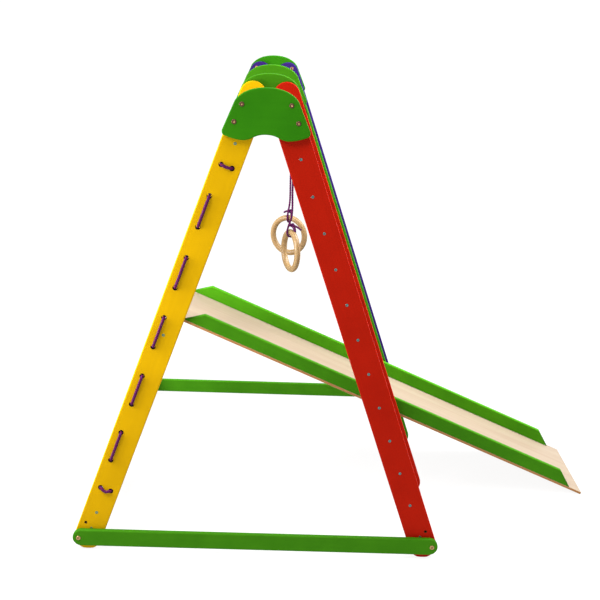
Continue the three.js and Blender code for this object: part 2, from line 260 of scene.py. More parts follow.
def plywood(name, pale, mid, glue, core, ply):
    """Birch plywood: a pale rotary-cut face, and edges of plies that are ply metres thick."""
    material, tree, shader = new_material(name, pale, 0.5, specular=0.3)
    place = object_place(tree)
    bands = noise(tree, place, (1.1, 26.0, 3.0), detail=4.0, distortion=1.4)
    pores = noise(tree, place, (22.0, 520.0, 60.0), detail=2.0)
    face = mixed(tree, between(tree, bands, 0, 1), pale, mid)
    flecked = mixed(tree, between(tree, pores, 0, 0.3, 0.55, 0.8), face, tone(mid, 0.8))
    height = node(tree, "SeparateXYZ")
    tree.links.new(node(tree, "TexCoord").outputs["Object"], height.inputs[0])
    phase = node(tree, "Math", operation="MULTIPLY")
    phase.inputs[1].default_value = math.pi / ply
    tree.links.new(height.outputs["Z"], phase.inputs[0])
    wave = node(tree, "Math", operation="SINE")
    tree.links.new(phase.outputs[0], wave.inputs[0])
    edge = mixed(tree, between(tree, wave.outputs[0], 0, 1, -0.35, 0.35), glue, core)
    # Faces that look up or down show the pale ply, the others the edges of all of them.
    is_face = node(tree, "Math", operation="GREATER_THAN")
    is_face.inputs[1].default_value = 0.5
    facing = node(tree, "SeparateXYZ")
    tree.links.new(node(tree, "TexCoord").outputs["Normal"], facing.inputs[0])
    upright = node(tree, "Math", operation="ABSOLUTE")
    tree.links.new(facing.outputs["Z"], upright.inputs[0])
    tree.links.new(upright.outputs[0], is_face.inputs[0])
    tree.links.new(mixed(tree, is_face.outputs[0], edge, flecked), shader.inputs["Base Color"])
    bumped(tree, shader, [(pores, 0.0001)])
    return material


def braided(name, purple, blue, wine):
    """Braided cord: wine and blue strands wind round it, purple ones cross them, and all have
    fine filaments."""
    material, tree, shader = new_material(name, purple, 0.7, specular=0.05)
    place = node(tree, "SeparateXYZ")
    tree.links.new(node(tree, "TexCoord").outputs["UV"], place.inputs[0])
    strands = []
    for way in (1, -1):
        phase = node(tree, "Math", operation="MULTIPLY_ADD")
        phase.inputs[1].default_value = way * STRANDS
        tree.links.new(place.outputs["X"], phase.inputs[0])
        tree.links.new(place.outputs["Y"], phase.inputs[2])
        turns = node(tree, "Math", operation="MULTIPLY")
        turns.inputs[1].default_value = 2 * math.pi
        tree.links.new(phase.outputs[0], turns.inputs[0])
        wave = node(tree, "Math", operation="SINE")
        tree.links.new(turns.outputs[0], wave.inputs[0])
        strands.append(wave.outputs[0])
    fibres = noise(tree, node(tree, "TexCoord").outputs["UV"], (60.0, 5.0, 1.0), detail=2.0)
    body = mixed(tree, between(tree, strands[0], 0, 1, -0.6, 0.6), wine, blue)
    crossed = mixed(tree, between(tree, strands[1], 0, 0.6, -0.4, 0.8), body, purple)
    lined = mixed(tree, between(tree, fibres, 0, 0.5), crossed, tone(purple, 0.4))
    tree.links.new(lined, shader.inputs["Base Color"])
    bumped(tree, shader, [(fibres, 0.0002)])
    return material


def metal(name, color, dark, roughness):
    """Plated steel, a little uneven in colour and polish."""
    material, tree, shader = new_material(name, color, roughness, metallic=1.0)
    place = object_place(tree)
    cloud = noise(tree, place, (260.0, 260.0, 260.0), detail=3.0)
    tree.links.new(mixed(tree, between(tree, cloud, 0, 0.6), color, dark),
                   shader.inputs["Base Color"])
    tree.links.new(between(tree, cloud, roughness - 0.08, roughness + 0.12),
                   shader.inputs["Roughness"])
    bumped(tree, shader, [(cloud, 0.00003)])
    return material


GREEN = (0.036, 0.165, 0.004), (0.031, 0.15, 0.0035), (0.041, 0.18, 0.0045)
SLOTS = {
    "yellow_paint": paint("yellow enamel", (0.53, 0.30, 0.001), (0.48, 0.27, 0.001),
                          (0.555, 0.315, 0.001)),
    "red_paint": paint("red enamel", (0.335, 0.0082, 0.0018), (0.305, 0.0074, 0.0016),
                       (0.355, 0.009, 0.002)),
    "green_paint": paint("green enamel", *GREEN),
    "purple_paint": paint("purple enamel", (0.026, 0.0106, 0.106), (0.0228, 0.0092, 0.095),
                          (0.029, 0.012, 0.117)),
    "clear_birch": bare_wood("birch rod", (0.50, 0.40, 0.28), (0.44, 0.33, 0.21),
                             (0.33, 0.21, 0.12)),
    "birch_plywood": plywood("birch plywood", (0.365, 0.293, 0.212), (0.325, 0.243, 0.175),
                             (0.28, 0.10, 0.016), (0.36, 0.19, 0.07), 0.0015),
    "ring_wood": bare_wood("ring beech", (0.42, 0.29, 0.14), (0.23, 0.13, 0.045),
                           (0.11, 0.052, 0.015), roughness=0.28, grain_place=round_the_ring),
    "purple_rope": braided("braided cord", (0.078, 0.006, 0.055), (0.045, 0.022, 0.12),
                           (0.13, 0.005, 0.034)),
}
# Finishes and plating that only some pieces of a slot have, and copies that paint light or shade:
# a darker and a brighter green, and near-black painted shade for holes and sockets.
# A darker, cooler copy of the green enamel: painted shade on gussets 1 and 4.
SHADED_COPY_GREEN = paint("green enamel, shaded copy", (0.0215, 0.150, 0.0027), (0.018, 0.136, 0.0024),
                   (0.025, 0.164, 0.003))
# A brighter copy of the green enamel: painted light on the far slide rail.
LIT_COPY_GREEN = paint("green enamel, lit copy", (0.052, 0.235, 0.0055), (0.045, 0.215, 0.005),
                     (0.059, 0.255, 0.006))
# The green with its upward faces painted darker: painted shade on the near base beam's top edge.
TOP_SHADED_GREEN = paint("green enamel with painted shade on top", *GREEN, top_light=0.75)
# Near-black wood for the walls of holes: painted shade, where little light gets in.
HOLE_SHADE = bare_wood("painted hole shade", (0.045, 0.026, 0.014), (0.03, 0.018, 0.009),
                 (0.018, 0.01, 0.005), roughness=0.8, specular=0.0)
ZINC = metal("zinc plate", (0.04, 0.25, 0.25), (0.025, 0.17, 0.17), 0.34)
# Darker teal for screw sockets: painted shade in the recess.
SOCKET_SHADE_TEAL = metal("screw socket shade", (0.03, 0.09, 0.10), (0.015, 0.05, 0.06), 0.5)
BRONZE = metal("bronze plate", (0.14, 0.078, 0.046), (0.08, 0.045, 0.028), 0.38)
BRASS = metal("brass plate", (0.46, 0.26, 0.13), (0.32, 0.18, 0.085), 0.34)
# Near-black brown for bolt, nut and gusset screw sockets: painted shade in the recess.
SOCKET_SHADE_BROWN = metal("recess", (0.05, 0.036, 0.02), (0.025, 0.018, 0.01), 0.5)


# ---- Shared tools ----
def mesh_object(name, bm):
    """A linked object from a bmesh, smooth-shaded."""
    mesh = bpy.data.meshes.new(name)
    bm.to_mesh(mesh)
    bm.free()
    mesh.polygons.foreach_set("use_smooth", [True] * len(mesh.polygons))
    made = bpy.data.objects.new(name, mesh)
    bpy.context.scene.collection.objects.link(made)
    return made


def own_frame(piece, turn):
    """Gives a piece in the row frame axes of its own: X along it, Z out of its underside."""
    axes = turn.to_4x4()
    piece.data.transform(axes.inverted())
    corner = Vector([min(v.co[i] for v in piece.data.vertices) for i in range(3)])
    piece.data.transform(Matrix.Translation(-corner))
    piece.matrix_world = axes @ Matrix.Translation(corner)


def stand_for(piece, name, finish=None):
    """piece takes the place, finish and body of CAD node name."""
    cad = NODES[name]
    slot = cad.data.materials[0].name
    piece.data.materials.append(finish or SLOTS[slot])
    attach(piece, cad["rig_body"])
    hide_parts(name)


# ---- Boards: outlines read from the CAD nodes ----
EDGE_STEPS = 5  # of each rounded edge
HOLD = 0.0005  # flat strip that keeps a face's shading flat up to its rounded edge
GENTLE = math.radians(35)  # an outline turns less than this along a curve
ACUTE = math.radians(100)  # and more than this at a pointed corner, which stays as it is
SHORT_EDGE = 0.035  # longer edges are straight sides, shorter ones are pieces of a curve
CURVE_SPLIT = 3
SQUARE = 0.06  # share of its rounding that a square side keeps
MITRE_LEAST = 0.35  # how far a sharp corner of an outline is let move in, as a cosine


def face_loops(name):
    """Outlines of a board's near face, outer one first, as (x, z) points with the board on the
    left."""
    mesh = NODES[name].data
    near_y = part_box(name)[0].y
    place = {
        v.index: (round(v.co.x, 5), round(v.co.z, 5))
        for v in mesh.vertices if abs(v.co.y - near_y) < 1e-5
    }
    edges = set()
    for face in mesh.polygons:
        if all(v in place for v in face.vertices):
            corners = [place[v] for v in face.vertices]
            for edge in zip(corners, corners[1:] + corners[:1]):
                if edge[::-1] in edges:
                    edges.remove(edge[::-1])
                else:
                    edges.add(edge)
    following = dict(sorted(edges))
    loops = []
    while following:
        start, at = following.popitem()
        loop = [Vector(start)]
        while at != start:
            loop.append(Vector(at))
            at = following.pop(at)
        loops.append(loop)
    return sorted(loops, key=lambda loop: -perimeter(loop))


def perimeter(loop):
    return sum((p - q).length for p, q in zip(loop, loop[1:] + loop[:1]))


def middle(loop):
    return sum(loop, Vector((0, 0))) / len(loop)


def turning(before, here, after):
    return abs((here - before).angle_signed(after - here, 0))


def rounded_corners(loop, radius):
    """The outline with each sharp corner eased."""
    made = []
    for i, here in enumerate(loop):
        before, after = loop[i - 1], loop[(i + 1) % len(loop)]
        angle = turning(before, here, after)
        if radius == 0 or not GENTLE < angle < ACUTE:
            made.append(here)
            continue
        longest = 0.45 * min((here - before).length, (after - here).length)
        cut = min(radius * math.tan(angle / 2), longest)
        start = here + (before - here).normalized() * cut
        end = here + (after - here).normalized() * cut
        steps = max(3, round(math.degrees(angle) / 15))
        for k in range(steps + 1):
            t = k / steps
            made.append((1 - t) ** 2 * start + 2 * t * (1 - t) * here + t * t * end)
    return made


def finer_curves(loop):
    """The outline with more points along its curved stretches."""
    count = len(loop)
    corner = [turning(loop[i - 1], loop[i], loop[(i + 1) % count]) for i in range(count)]
    heading = []
    for i, here in enumerate(loop):
        back, on = here - loop[i - 1], loop[(i + 1) % count] - here
        heading.append((back.normalized() + on.normalized()).normalized())
    made = []
    for i, here in enumerate(loop):
        j = (i + 1) % count
        made.append(here)
        long = (loop[j] - here).length
        if long < SHORT_EDGE and 0.01 < corner[i] < GENTLE and 0.01 < corner[j] < GENTLE:
            for k in range(1, CURVE_SPLIT):
                t = k / CURVE_SPLIT
                made.append(
                    (2 * t ** 3 - 3 * t ** 2 + 1) * here + (3 * t ** 2 - 2 * t ** 3) * loop[j]
                    + long * (t ** 3 - 2 * t ** 2 + t) * heading[i]
                    + long * (t ** 3 - t ** 2) * heading[j])
    return made


def moved_in(loop, distance, square=None):
    """The outline moved into the board; the side that starts at index square hardly moves."""
    made = []
    for i, here in enumerate(loop):
        back = (here - loop[i - 1]).normalized()
        on = (loop[(i + 1) % len(loop)] - here).normalized()
        side_back, side_on = Vector((-back.y, back.x)), Vector((-on.y, on.x))
        turn = side_back.cross(side_on)
        if square is not None and abs(turn) > 0.01:
            far_back = distance * (SQUARE if i == (square + 1) % len(loop) else 1)
            far_on = distance * (SQUARE if i == square else 1)
            made.append(here + Vector((
                (far_back * side_on.y - far_on * side_back.y) / turn,
                (far_on * side_back.x - far_back * side_on.x) / turn)))
            continue
        mitre = (side_back + side_on).normalized()
        made.append(here + mitre * (distance / max(mitre.dot(side_back), MITRE_LEAST)))
    return made


def longest_side(loop):
    """Index of the corner at which an outline's longest side starts."""
    return max(range(len(loop)), key=lambda i: (loop[(i + 1) % len(loop)] - loop[i]).length)


def rounded_board(name, edge, rim=0.001, corner=0.0, level=False, square_foot=False,
                  finish=None):
    """A board on CAD node name's outline, with round edges and eased holes whose walls get
    near-black painted shade, that replaces it. With square_foot its longest side, which is glued
    to another piece, stays square."""
    low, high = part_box(name)
    loops = face_loops(name)
    bm = bmesh.new()
    caps = [[], []]
    for i, loop in enumerate(loops):
        radius = rim if i else edge
        outline = finer_curves(rounded_corners(loop, 0 if i else corner))
        square = longest_side(outline) if square_foot else None
        quarter = [math.radians(90 * k / EDGE_STEPS) for k in range(EDGE_STEPS + 1)]
        near = [(radius + HOLD, low.y)]
        near += [(radius * (1 - math.sin(a)), low.y + radius * (1 - math.cos(a)))
                 for a in quarter]
        profile = near + [(inset, low.y + high.y - y) for inset, y in reversed(near)]
        rings = [[bm.verts.new((p.x, y, p.y)) for p in moved_in(outline, inset, square)]
                 for inset, y in profile]
        for here, there in zip(rings, rings[1:]):
            for k in range(len(here)):
                # Walls of holes (loops after the outer one) take the second material: near-black
                # painted shade.
                wall = bm.faces.new((here[k - 1], here[k], there[k], there[k - 1]))
                wall.material_index = min(i, 1)
        for cap, ring in zip(caps, (rings[0], rings[-1])):
            cap += [bm.edges.get((ring[k - 1], ring[k])) for k in range(len(ring))]
    for cap in caps:
        bmesh.ops.triangle_fill(bm, use_beauty=True, edges=cap)
    bmesh.ops.recalc_face_normals(bm, faces=bm.faces)
    piece = mesh_object(f"{name}_board", bm)
    outer = loops[0]
    start = longest_side(outer)
    along = outer[(start + 1) % len(outer)] - outer[start]
    tilt = 0 if level else -math.atan(along.y / along.x)
    own_frame(piece, Matrix.Rotation(tilt, 3, "Y"))
    stand_for(piece, name, finish)
    # The second material: painted shade inside the holes.
    if len(loops) > 1:
        piece.data.materials.append(HOLE_SHADE)


# ---- Rods and rings ----
def lathe_along_y(bm, profile, centre, sides):
    """Rings of (radius, y) about an axis along Y through centre, closed at both ends."""
    rings = []
    for radius, y in profile:
        rings.append([
            bm.verts.new((centre.x + radius * math.cos(2 * math.pi * k / sides), y,
                          centre.z + radius * math.sin(2 * math.pi * k / sides)))
            for k in range(sides)])
    for here, there in zip(rings, rings[1:]):
        for k in range(sides):
            bm.faces.new((here[k - 1], there[k - 1], there[k], here[k]))
    return rings


ROD_SIDES = 40
ROD_EASE = 0.0012


def rod(name):
    """A turned rod with eased ends in place of a CAD dowel."""
    low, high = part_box(name)
    centre, radius = (low + high) / 2, (high.x - low.x) / 2
    half = [(radius - ROD_EASE - HOLD, low.y), (radius - ROD_EASE, low.y),
            (radius - 0.3 * ROD_EASE, low.y + 0.3 * ROD_EASE), (radius, low.y + ROD_EASE),
            (radius, low.y + 2 * ROD_EASE)]
    profile = half + [(r, low.y + high.y - y) for r, y in reversed(half)]
    bm = bmesh.new()
    rings = lathe_along_y(bm, profile, centre, ROD_SIDES)
    bm.faces.new(rings[0])
    bm.faces.new(rings[-1][::-1])
    bmesh.ops.recalc_face_normals(bm, faces=bm.faces)
    piece = mesh_object(f"{name}_rod", bm)
    own_frame(piece, Matrix.Rotation(math.pi / 2, 3, "Z"))
    stand_for(piece, name)


RING_SIDES, RING_STEPS = 28, 112
RING_TUBE = 0.011
RING_INSIDE = 0.97  # the inside of a ring is worn a touch flatter than its outside


def gym_ring(name):
    """A turned wooden ring in place of the CAD torus."""
    low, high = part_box(name)
    centre = (low + high) / 2
    outer = (high.z - low.z) / 2
    mesh = NODES[name].data
    # The ring's flat direction: the horizontal line that its points lie nearest to.
    spread = [(v.co.x - centre.x, v.co.y - centre.y) for v in mesh.vertices]
    xx = sum(x * x for x, _ in spread)
    yy = sum(y * y for _, y in spread)
    xy = sum(x * y for x, y in spread)
    turn = 0.5 * math.atan2(2 * xy, xx - yy)
    mean = outer - RING_TUBE
    bm = bmesh.new()
    rings = []
    for i in range(RING_STEPS):
        a = 2 * math.pi * i / RING_STEPS
        ring = []
        for k in range(RING_SIDES):
            b = 2 * math.pi * k / RING_SIDES
            reach = mean + RING_TUBE * math.cos(b) * (RING_INSIDE if math.cos(b) < 0 else 1.0)
            flat = Vector((reach * math.cos(a), RING_TUBE * math.sin(b), reach * math.sin(a)))
            ring.append(bm.verts.new(centre + Matrix.Rotation(turn, 3, "Z") @ flat))
        rings.append(ring)
    for i in range(RING_STEPS):
        here, there = rings[i], rings[(i + 1) % RING_STEPS]
        for k in range(RING_SIDES):
            j = (k + 1) % RING_SIDES
            bm.faces.new((here[k], there[k], there[j], here[j]))
    bmesh.ops.recalc_face_normals(bm, faces=bm.faces)
    piece = mesh_object(f"{name}_wood", bm)
    own_frame(piece, Matrix.Rotation(turn, 3, "Z"))
    stand_for(piece, name)


# ---- Ropes ----
ROPE_SIDES = 16
PLAITS = 4  # round the rope, each way
PLAIT_LENGTH = 1.3  # diameters from one plait to the next along the rope
PLAIT_STEPS = 6
PLAIT_RELIEF = 0.09  # of the radius


def smooth_path(points, per_span):
    """A centripetal Catmull-Rom curve through the points."""
    pts = [Vector(p) for p in points]
    pts = [2 * pts[0] - pts[1], *pts, 2 * pts[-1] - pts[-2]]
    made = []
    for i in range(1, len(pts) - 2):
        p0, p1, p2, p3 = pts[i - 1:i + 3]
        t1 = (p1 - p0).length ** 0.5
        t2 = t1 + (p2 - p1).length ** 0.5
        t3 = t2 + (p3 - p2).length ** 0.5
        for k in range(per_span):
            t = t1 + (t2 - t1) * k / per_span
            a1 = p0.lerp(p1, t / t1)
            a2 = p1.lerp(p2, (t - t1) / (t2 - t1))
            a3 = p2.lerp(p3, (t - t2) / (t3 - t2))
            b1 = a1.lerp(a2, t / t2)
            b2 = a2.lerp(a3, (t - t1) / (t3 - t1))
            made.append(b1.lerp(b2, (t - t1) / (t2 - t1)))
    return [*made, pts[-2]]


def evenly(points, step):
    """The same path with points a fixed distance apart, to the nearest whole number of them."""
    lengths = [0.0]
    for p, q in zip(points, points[1:]):
        lengths.append(lengths[-1] + (q - p).length)
    count = max(2, round(lengths[-1] / step))
    made, i = [], 0
    for k in range(count + 1):
        at = lengths[-1] * k / count
        while i < len(points) - 2 and lengths[i + 1] < at:
            i += 1
        span = max(lengths[i + 1] - lengths[i], 1e-9)
        made.append(points[i].lerp(points[i + 1], (at - lengths[i]) / span))
    return made


def braid(bm, points, radius, closed=False):
    """Adds a braided rope along a path to bm: plaits stand proud in a diamond pattern, and each
    open end is melted to a round tip. Gives the path that its rings follow."""
    step = 2 * radius * PLAIT_LENGTH / PLAIT_STEPS
    path = evenly(points, step)
    if closed:
        path = path[:-1]
    count = len(path)
    uv = bm.loops.layers.uv.verify()
    rings = []
    across = None
    for i, here in enumerate(path):
        after = path[(i + 1) % count] if closed else path[min(i + 1, count - 1)]
        before = path[i - 1] if closed or i else here
        along = (after - before).normalized()
        if across is None:
            across = along.orthogonal()
        across = (across - along * across.dot(along)).normalized()
        up = along.cross(across)
        from_end = 1.0 if closed else min(i, count - 1 - i) * step / radius
        tip = 1.0 if from_end >= 1 else math.sqrt(max(0.12, 1 - (1 - from_end) ** 2))
        ring = []
        for k in range(ROPE_SIDES):
            angle = 2 * math.pi * k / ROPE_SIDES
            plait = 0.5 * (math.cos(PLAITS * angle)
                           * math.cos(2 * math.pi * i / PLAIT_STEPS) + 1)
            reach = radius * tip * (1 - PLAIT_RELIEF + PLAIT_RELIEF * 2 * plait)
            ring.append(bm.verts.new(
                here + across * (reach * math.cos(angle)) + up * (reach * math.sin(angle))))
        rings.append(ring)
    pairs = list(zip(range(count), range(1, count))) + ([(count - 1, 0)] if closed else [])
    for i, j in pairs:
        for k in range(ROPE_SIDES):
            m = (k + 1) % ROPE_SIDES
            face = bm.faces.new((rings[i][k], rings[i][m], rings[j][m], rings[j][k]))
            places = ((i, k), (i, k + 1), (i + 1, k + 1), (i + 1, k))
            for corner, (ring, side) in zip(face.loops, places):
                corner[uv].uv = (side / ROPE_SIDES, ring * PLAIT_LENGTH / PLAIT_STEPS)
    if not closed:
        bm.faces.new(rings[0][::-1])
        bm.faces.new(rings[-1])
    return path


KNOT_STEPS = 72
KNOT_SQUEEZE = 0.8  # a tight knot squeezes its rope
KNOT_SIZE = 0.86  # rope radii to each unit of the knot's curve
KNOT_RISE = 1.25  # units that the curve rises and falls along the line it is tied round


def knot(bm, centre, axis, radius):
    """An overhand knot pulled tight round the line through centre along axis."""
    to_axis = UP.rotation_difference(axis).to_matrix()
    size = KNOT_SIZE * radius
    points = []
    for k in range(KNOT_STEPS + 1):
        t = 2 * math.pi * k / KNOT_STEPS
        reach = 2 + math.cos(3 * t)
        place = Vector((reach * math.cos(2 * t), reach * math.sin(2 * t),
                        KNOT_RISE * math.sin(3 * t)))
        points.append(centre + to_axis @ (size * place))
    braid(bm, points, KNOT_SQUEEZE * radius, closed=True)


def rope_piece(name, bm, body):
    """A piece of rope on a body, from its finished bmesh."""
    bmesh.ops.recalc_face_normals(bm, faces=bm.faces)
    piece = mesh_object(name, bm)
    piece.data.materials.append(SLOTS["purple_rope"])
    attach(piece, body)
    return piece


# ---- Ring cords: the route of the CAD tubes, point by point ----
CORD_RADIUS = 0.0035
DOWEL_RADIUS = 0.013
RING_TURNS = {"near": math.radians(-69), "far": math.radians(-28)}
BAR_SIDES = {"near": 1, "far": -1}  # side of the bar that each cord hangs down
HALF_TURN = 0.707  # cosine of 45 degrees, for the points between the quarters of a wrap
CLEARANCE = 0.001  # between a cord and what it is wrapped round
DOWN = Vector((0, 0, -1))
KNOT_OVER_RING = 0.016
KNOT_UNDER_BAR = 0.012  # below the cord's end
KNOT_ASIDE = 0.003  # from the middle of the hanging cord, towards its other strand
TOP_TAIL = 0.022
TAIL_DROOP = 0.35  # of the tail's length
# Tails of each ring's knot: the direction in which each leaves it, and its length.
TAILS = {
    "near": [(Vector((1, -0.2, -0.15)), 0.034), (Vector((0.55, -0.8, -0.5)), 0.024)],
    "far": [(Vector((-1, -0.3, 0.05)), 0.02)],
}


def cord_points(which):
    """The cord's route: from its end below the bar up and over the bar, down to the ring, and
    round the ring's tube."""
    turn, side = RING_TURNS[which], BAR_SIDES[which]
    bar_low, bar_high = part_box("ring_bar")
    ring_low, ring_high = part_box(f"ring_{which}")
    x, z = (bar_low.x + bar_high.x) / 2, (bar_low.z + bar_high.z) / 2
    hang_x, y = (ring_low.x + ring_high.x) / 2, (ring_low.y + ring_high.y) / 2
    wrap = DOWEL_RADIUS + CORD_RADIUS + CLEARANCE
    loop = RING_TUBE + CORD_RADIUS + CLEARANCE
    tube_z = ring_high.z - RING_TUBE

    def over(offset, height):
        return (x + side * offset, y, z + height)

    def beside(offset, height):
        return (hang_x + offset * math.sin(turn), y - offset * math.cos(turn), height)

    return [
        over(0.003 - wrap, -0.026), over(-wrap, 0), over(-HALF_TURN * wrap, HALF_TURN * wrap),
        over(0, wrap), over(HALF_TURN * wrap, HALF_TURN * wrap), over(wrap, 0),
        over(0.012, -0.022), (hang_x, y, z - 0.06), (hang_x, y, z - 0.15),
        (hang_x, y, z - 0.24),
        beside(0, tube_z + 0.06), beside(0.8 * loop, tube_z + 0.02), beside(loop, tube_z),
        beside(HALF_TURN * loop, tube_z - HALF_TURN * loop), beside(0, tube_z - loop),
        beside(-HALF_TURN * loop, tube_z - HALF_TURN * loop), beside(-loop, tube_z),
        beside(-0.8 * loop, tube_z + 0.02),
    ]


def tail(bm, start, direction, length):
    """A short free end of rope that droops as it leaves a knot."""
    direction = direction.normalized()
    points = [start + direction * (length * t) - UP * (TAIL_DROOP * length * t * t)
              for t in (0, 0.25, 0.5, 0.75, 1)]
    braid(bm, smooth_path(points, 8), CORD_RADIUS)


def ring_cord(which):
    """A ring's cord with its two knots and their tails."""
    points = cord_points(which)
    bm = bmesh.new()
    path = braid(bm, smooth_path(points, 14), CORD_RADIUS)
    rope = rope_piece(f"ring_cord_{which}_rope", bm, f"ring_{which}")
    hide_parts(f"ring_cord_{which}")

    ring_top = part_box(f"ring_{which}")[1].z
    hang_x, hang_y, _ = points[8]  # a point of the straight stretch below the bar
    over_ring = Vector((hang_x, hang_y, ring_top + KNOT_OVER_RING))
    bm = bmesh.new()
    knot(bm, over_ring, DOWN, CORD_RADIUS)
    for direction, length in TAILS[which]:
        tail(bm, over_ring + direction.normalized() * CORD_RADIUS, direction, length)
    low_knot = rope_piece(f"ring_knot_{which}", bm, f"ring_{which}")

    side = BAR_SIDES[which]
    under_bar = Vector((hang_x - side * KNOT_ASIDE, hang_y, points[0][2] - KNOT_UNDER_BAR))
    bm = bmesh.new()
    knot(bm, under_bar, DOWN, CORD_RADIUS)
    tail(bm, under_bar - Vector((side * CORD_RADIUS, 0, 0)), Vector((-side, 0.2, -0.6)), TOP_TAIL)
    top_knot = rope_piece(f"ring_cord_{which}_top_knot", bm, f"ring_{which}")

    length = sum((q - p).length for p, q in zip(path, path[1:]))


for which in ("near", "far"):
    ring_cord(which)

# ---- Lacing rope through the left legs of the first unit ----
LACE_RADIUS = 0.0046
LACE_PROUD = LACE_RADIUS + 0.0006  # from a leg's face to the middle of a rope that lies on it
LACE_LIFT = 0.001  # from the face to where the rope starts to bend over it
LACE_BEND = 0.0055  # from a hole's middle to where the rope lies on the face
LACE_PULL = 0.0018  # a taut rope lies against the side of its hole
KNOT_BACK = 0.004  # from the rope's end to its knot
BOARD = 0.018
CROSS_SAGS = (0.002, 0.006)  # of the short stretches across the near leg, top and bottom
ROPE_HOLE_LEAST = 0.034  # perimeter that tells a rope hole from a bolt hole


def lacing_route():
    """Where the rope goes: in and out of the holes of the two left legs, top to bottom. It
    crosses the near leg at both ends and in between runs down each leg in turn."""
    near_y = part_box("frame_1_leg_left")[0].y
    far_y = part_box("frame_2_leg_left")[1].y
    holes = [middle(loop) for loop in face_loops("frame_1_leg_left")[1:]
             if perimeter(loop) > ROPE_HOLE_LEAST]
    holes.sort(key=lambda hole: -hole.y)
    ends = (holes[1], holes[-1])
    levels = [holes[0], *holes[2:-1]]
    points = []

    def at(hole, y, drop=0.0):
        points.append(Vector((hole.x, y, hole.y - drop)))

    def outside(start, end, face, out, sag=0.0):
        along = (end - start).normalized()
        pull, bend = along * (0 if sag else LACE_PULL), along * LACE_BEND
        at(start + pull, face - out * BOARD)
        at(start + pull, face + out * LACE_LIFT)
        at(start + bend, face + out * LACE_PROUD, 0.3 * sag)
        at((start + end) / 2, face + out * (LACE_PROUD + sag / 3), sag)
        at(end - bend, face + out * LACE_PROUD, 0.3 * sag)
        at(end - pull, face + out * LACE_LIFT)
        at(end - pull, face - out * BOARD)

    at(ends[0], near_y + 2 * BOARD)
    outside(ends[0], levels[0], near_y, -1, CROSS_SAGS[0])
    for i, (start, end) in enumerate(zip(levels, levels[1:])):
        to_far = i % 2 == 0
        outside(start, end, far_y if to_far else near_y, 1 if to_far else -1)
    outside(levels[-1], ends[1], near_y, -1, CROSS_SAGS[1])
    at(ends[1], near_y + 2 * BOARD)
    return points


def lacing_rope():
    points = lacing_route()
    bm = bmesh.new()
    braid(bm, smooth_path(points, 10), LACE_RADIUS)
    for end, inner in ((points[0], points[1]), (points[-1], points[-2])):
        inwards = (end - inner).normalized()
        knot(bm, end - inwards * KNOT_BACK, inwards, LACE_RADIUS)
    rope = rope_piece("lacing_rope_braid", bm, "climbing_frame")
    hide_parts("lacing_rope")


lacing_rope()

# ---- Boards, rods and rings ----
PAINTED_EDGE = 0.004
for number in (1, 2, 3, 4):
    rounded_board(f"frame_{number}_leg_left", PAINTED_EDGE)
    rounded_board(f"frame_{number}_leg_right", PAINTED_EDGE)
    # Gussets 1 and 4 take the darker copy of the green: painted shade.
    rounded_board(f"frame_{number}_gusset", PAINTED_EDGE, level=True,
                  finish=SHADED_COPY_GREEN if number in (1, 4) else None)
for side in ("near", "far"):
    # The near beam's top edge gets painted shade in place of the usual painted highlight.
    rounded_board(f"base_beam_{side}", PAINTED_EDGE,
                  finish=TOP_SHADED_GREEN if side == "near" else None)
    # The far rail takes the brighter copy of the green: painted light.
    rounded_board(f"slide_rail_{side}", 0.0045, corner=0.009, square_foot=True,
                  finish=LIT_COPY_GREEN if side == "far" else None)
    rounded_board(f"slide_hook_{side}", 0.0015, corner=0.002, level=True)
    gym_ring(f"ring_{side}")
rounded_board("slide_bed", 0.0012, corner=0.002)
for unit in ("a", "b"):
    rounded_board(f"unit_{unit}_brace_low", 0.002, corner=0.003)
for name in sorted(NODES):
    if "_rung_" in name or "_crossbar_" in name or name.endswith("_bar") or "bay_bar" in name:
        rod(name)


# ---- Fasteners ----
HEX = 6
HEAD_SIDES = 24
SUNK = -0.001  # the foot of a head, inside its board
# Round the head: (share of its radius, share of its height).
HEAD_DOME = ((1, 0.35), (0.94, 0.75), (0.82, 0.97), (0.72, 1))


def head(bm, centre, out, radius, height, socket, depth):
    """A round fastener head on a face at centre, out along Y (-1 or 1), with a hex socket."""

    def ring(reach, y, hexagon=False):
        made = []
        for k in range(HEAD_SIDES):
            a = 2 * math.pi * k / HEAD_SIDES
            flat = math.cos(math.pi / HEX) / math.cos((a % (2 * math.pi / HEX)) - math.pi / HEX)
            r = reach * (flat if hexagon else 1)
            made.append(bm.verts.new((centre.x + r * math.cos(a), centre.y + out * y,
                                      centre.z + r * math.sin(a))))
        return made

    rings = [
        ring(radius, SUNK),
        *[ring(wide * radius, tall * height) for wide, tall in HEAD_DOME],
        ring(1.12 * socket, height), ring(socket, 0.9 * height, True),
        ring(0.98 * socket, height - depth, True), ring(0.2 * socket, height - 1.15 * depth, True),
    ]
    strips = []
    for here, there in zip(rings, rings[1:]):
        strips.append([bm.faces.new((here[k - 1], here[k], there[k], there[k - 1]))
                       for k in range(HEAD_SIDES)])
    strips.append([bm.faces.new(rings[-1])])
    bm.faces.new(rings[0][::-1])
    # The socket's faces take the inside material: painted shade in most sockets, brass in the
    # capped bolts.
    for strip in strips[-3:]:  # the socket's wall, the slope of its floor and its middle
        for face in strip:
            face.material_index = 1


def fasteners(name, places, out, shell, inside, **sizes):
    """One piece of several like fasteners on one face: places are their centres on it."""
    bm = bmesh.new()
    for centre in places:
        head(bm, Vector(centre), out, **sizes)
    bmesh.ops.recalc_face_normals(bm, faces=bm.faces)
    piece = mesh_object(name, bm)
    piece.data.materials.append(shell)
    piece.data.materials.append(inside)
    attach(piece, "climbing_frame")


